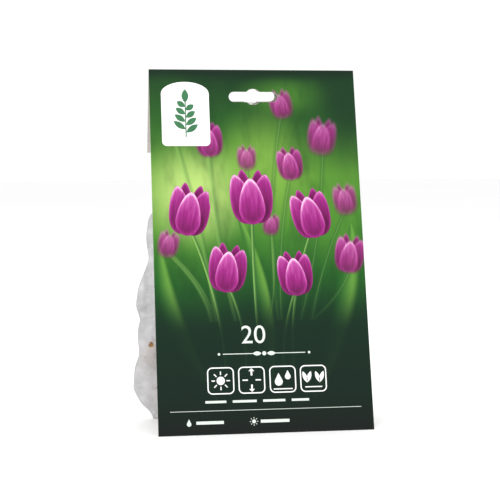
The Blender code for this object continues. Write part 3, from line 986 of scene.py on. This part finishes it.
def frame_outline(x, y, half_x, half_y, corner, width):
    """A rounded square's stroke: outer and inner outline."""
    loops = []
    for shrink in (0.0, width):
        r = corner - shrink
        loop = []
        for sx, sy, start in ((1, 1, 0), (-1, 1, 90), (-1, -1, 180), (1, -1, 270)):
            loop += arc((x + sx * (half_x - corner), y + sy * (half_y - corner)), r, start, start + 90, 5)
        loops.append(loop)
    return loops


def leaf(x, y, length, width, turn):
    """A pointed leaf from its foot at x, y."""
    outline = []
    for i in range(24):
        s = i / 12
        side, t = (1, s) if s <= 1 else (-1, 2 - s)
        px, py = side * width / 2 * math.sin(math.pi * t) ** 0.8, length * t
        outline.append(Vector((x, y)) + Matrix.Rotation(turn, 2) @ Vector((px, py)))
    return outline


def drop(x, y, size):
    """A drop's outline, point up; with a negative size, a bulb with its point down."""
    return arc((x, y), size * 0.5, 150, 390, 14) + [(x, y + size * 1.1)]


def arrow(x, y, height, way):
    """An upright arrow's outline; way is 1 for up and -1 for down."""
    h, w = height / 2, height * 0.28
    shaft, neck = w * 0.3, h - w
    foot = -h * 0.4
    corners = [(-w, neck), (0, h), (w, neck), (shaft, neck), (shaft, foot), (-shaft, foot), (-shaft, neck)]
    return [(x + way * across, y + way * up) for across, up in corners]


def put_figure(name, meshes, ink, lift):
    """Lays flat meshes on the board as one thin layer of ink."""
    bm = bmesh.new()
    for mesh in meshes:
        bm.from_mesh(mesh)
        bpy.data.meshes.remove(mesh)
    bmesh.ops.triangulate(bm, faces=bm.faces)
    for face in bm.faces:
        if face.normal.z < 0:
            face.normal_flip()
    for vert in bm.verts:
        vert.co = board_point(vert.co.x, vert.co.y, lift)
    mesh = bpy.data.meshes.new(name)
    bm.to_mesh(mesh)
    bm.free()
    holder = bpy.data.objects.new(name, mesh)
    bpy.context.scene.collection.objects.link(holder)
    thicken = holder.modifiers.new("ink", "SOLIDIFY")
    thicken.thickness = INK
    thicken.offset = 1
    mesh = evaluated_mesh(holder)
    mesh.materials.clear()
    mesh.materials.append(ink)
    add_piece(name, mesh)


def label_outline():
    """An arch-topped label near the panel's upper left corner."""
    left, right, bottom, top = -60.0, -29.0, 184.0, 219.0
    middle, half, rise, corner = (left + right) / 2, (right - left) / 2, 8.0, 3.0
    dome = [(middle + half * x, top + rise * y) for x, y in arc((0, 0), 1, 0, 180, 20)]
    low_left = arc((left + corner, bottom + corner), corner, 180, 270, 6)
    low_right = arc((right - corner, bottom + corner), corner, 270, 360, 6)
    return dome + low_left + low_right


def sprig_shapes():
    """Leaves up a bent stem, for the label."""
    shapes = [bar(-44.5, 190, -44.5, 214, 0.7), leaf(-44.5, 213, 9, 4.4, 0.0)]
    for k in range(4):
        y = 193 + 5.0 * k
        shapes += [leaf(-44.2, y, 9.2 - k, 3.8, -0.95), leaf(-44.8, y + 2.2, 9.2 - k, 3.8, 0.95)]
    return shapes


def badge_shapes():
    """Four badges in a row: sun, planting depth, water and spacing."""
    places, y, half = (-28.0, -8.6, 11.0, 30.4), 33.0, 8.4
    shapes = [frame_outline(x, y, half, half, 3.2, 0.75) for x in places]
    sun, depth, water, gap = places
    shapes.append([disc(sun, y, 2.6)])
    shapes.append(rays(sun, y, 3.6, 5.8, 0.7))
    shapes.append([arrow(depth, y + 4.1, 6.5, 1), arrow(depth, y - 4.1, 6.5, -1)])
    shapes.append([bar(depth - 5.8, y, depth - 2.4, y, 0.8), bar(depth + 2.4, y, depth + 5.8, y, 0.8)])
    shapes.append([drop(water - 2.6, y - 1.5, 5.0), drop(water + 3.2, y + 1.6, 3.6)])
    shapes.append([bar(water - 6, y - 6, water + 6, y - 6, 0.7)])
    for x in (gap - 4.0, gap + 4.0):
        shapes.append([leaf(x, y - 2.5, 7.5, 2.6, turn) for turn in (0.35, -0.35)])
    shapes.append([bar(gap - 5.4, y - 5.2, gap + 5.4, y - 5.2, 0.7)])
    return [shape_faces(outlines) for outlines in shapes]


def rule_shapes():
    """Pale rules below the badges, broken into short bars as on a generic packet."""
    words, rule, foot = 20.0, 14.6, 7.4
    strokes = [(x, x + length, words, 1.5) for x, length in ((-38, 13), (-21, 15), (-2, 14), (16, 11))]
    strokes += [(-60, 60, rule, 0.3), (-44, -27, foot, 1.9), (-4, 14, foot, 1.9)]
    shapes = [[bar(start, y, end, y, width)] for start, end, y, width in strokes]
    shapes += [[drop(-48.5, 6.8, 2.8)], [disc(-8.2, foot, 1.2)], rays(-8.2, foot, 1.8, 2.6, 0.4)]
    return [shape_faces(outlines) for outlines in shapes]


def ornament_shapes():
    """A line of small leaves and beads below the numeral."""
    y = 49.5
    shapes = [[bar(-26, y, -7, y, 0.5)], [bar(7, y, 26, y, 0.5)], [disc(0, y, 1.3)]]
    for side in (-1, 1):
        shapes.append([leaf(side * 1.8, y, 5.4, 2.6, -side * math.pi / 2)])
        shapes.append([disc(side * 28.5, y, 0.8)])
    return [shape_faces(outlines) for outlines in shapes]


def flap_shapes():
    """The flap's generic planting picture: ground line, four bulbs at their depths and bars."""
    ground = PANEL / MM + 24.0
    shapes = [[bar(-58, ground, 58, ground, 0.6)]]
    for x, deep, size in ((-48, 10, 3.2), (-28, 14, 4.2), (28, 18, 5.2), (48, 12, 3.8)):
        shapes.append([drop(x, ground + deep, -size)])
        shapes.append([bar(x, ground - 1, x, ground - 9, 0.7)])
        shapes.append([leaf(x, ground - 3, 9, 2.6, math.pi - 0.5), leaf(x, ground - 3, 9, 2.6, math.pi + 0.5)])
    for k in range(3):
        y = ground + 24 + 3.5 * k
        shapes.append([bar(-58, y, 20 - 16 * k, y, 1.3)])
    return [shape_faces(outlines) for outlines in shapes]


def make_figures():
    white = ink_material("white_ink", (238, 240, 238), (250, 250, 249))
    pale = ink_material("pale_ink", (206, 218, 208), (228, 234, 228))
    leafy = ink_material("leaf_ink", (30, 92, 58), (52, 122, 72))
    put_figure("label_plain", [shape_faces([label_outline()])], white, INK)
    put_figure("label_sprig", [shape_faces([outline]) for outline in sprig_shapes()], leafy, 2 * INK + 0.00001)
    put_figure("numeral_print", [numeral("20", -14.5, 56, 11.5)], pale, INK)
    put_figure("ornament_print", ornament_shapes(), pale, INK)
    put_figure("badge_print", badge_shapes(), white, INK)
    put_figure("rule_print", rule_shapes(), pale, INK)
    put_figure("flap_print", flap_shapes(), pale, INK)


make_figures()


# ---- The adhesive strip ----

def strip_material():
    """Clouded pale adhesive tape."""
    made, tree, shader, where = new_material("adhesive_tape")
    cloudy = cloud(tree, where, 260.0, 3.0)
    tree.links.new(mix(tree, cloudy, srgb(214, 210, 196), srgb(238, 236, 226)), shader.inputs["Base Color"])
    shader.inputs["Roughness"].default_value = 0.45
    tree.links.new(relief(tree, cloudy, 0.3, 0.0002), shader.inputs["Normal"])
    return made


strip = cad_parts["adhesive_strip"]
strip.data.materials.clear()
strip.data.materials.append(strip_material())
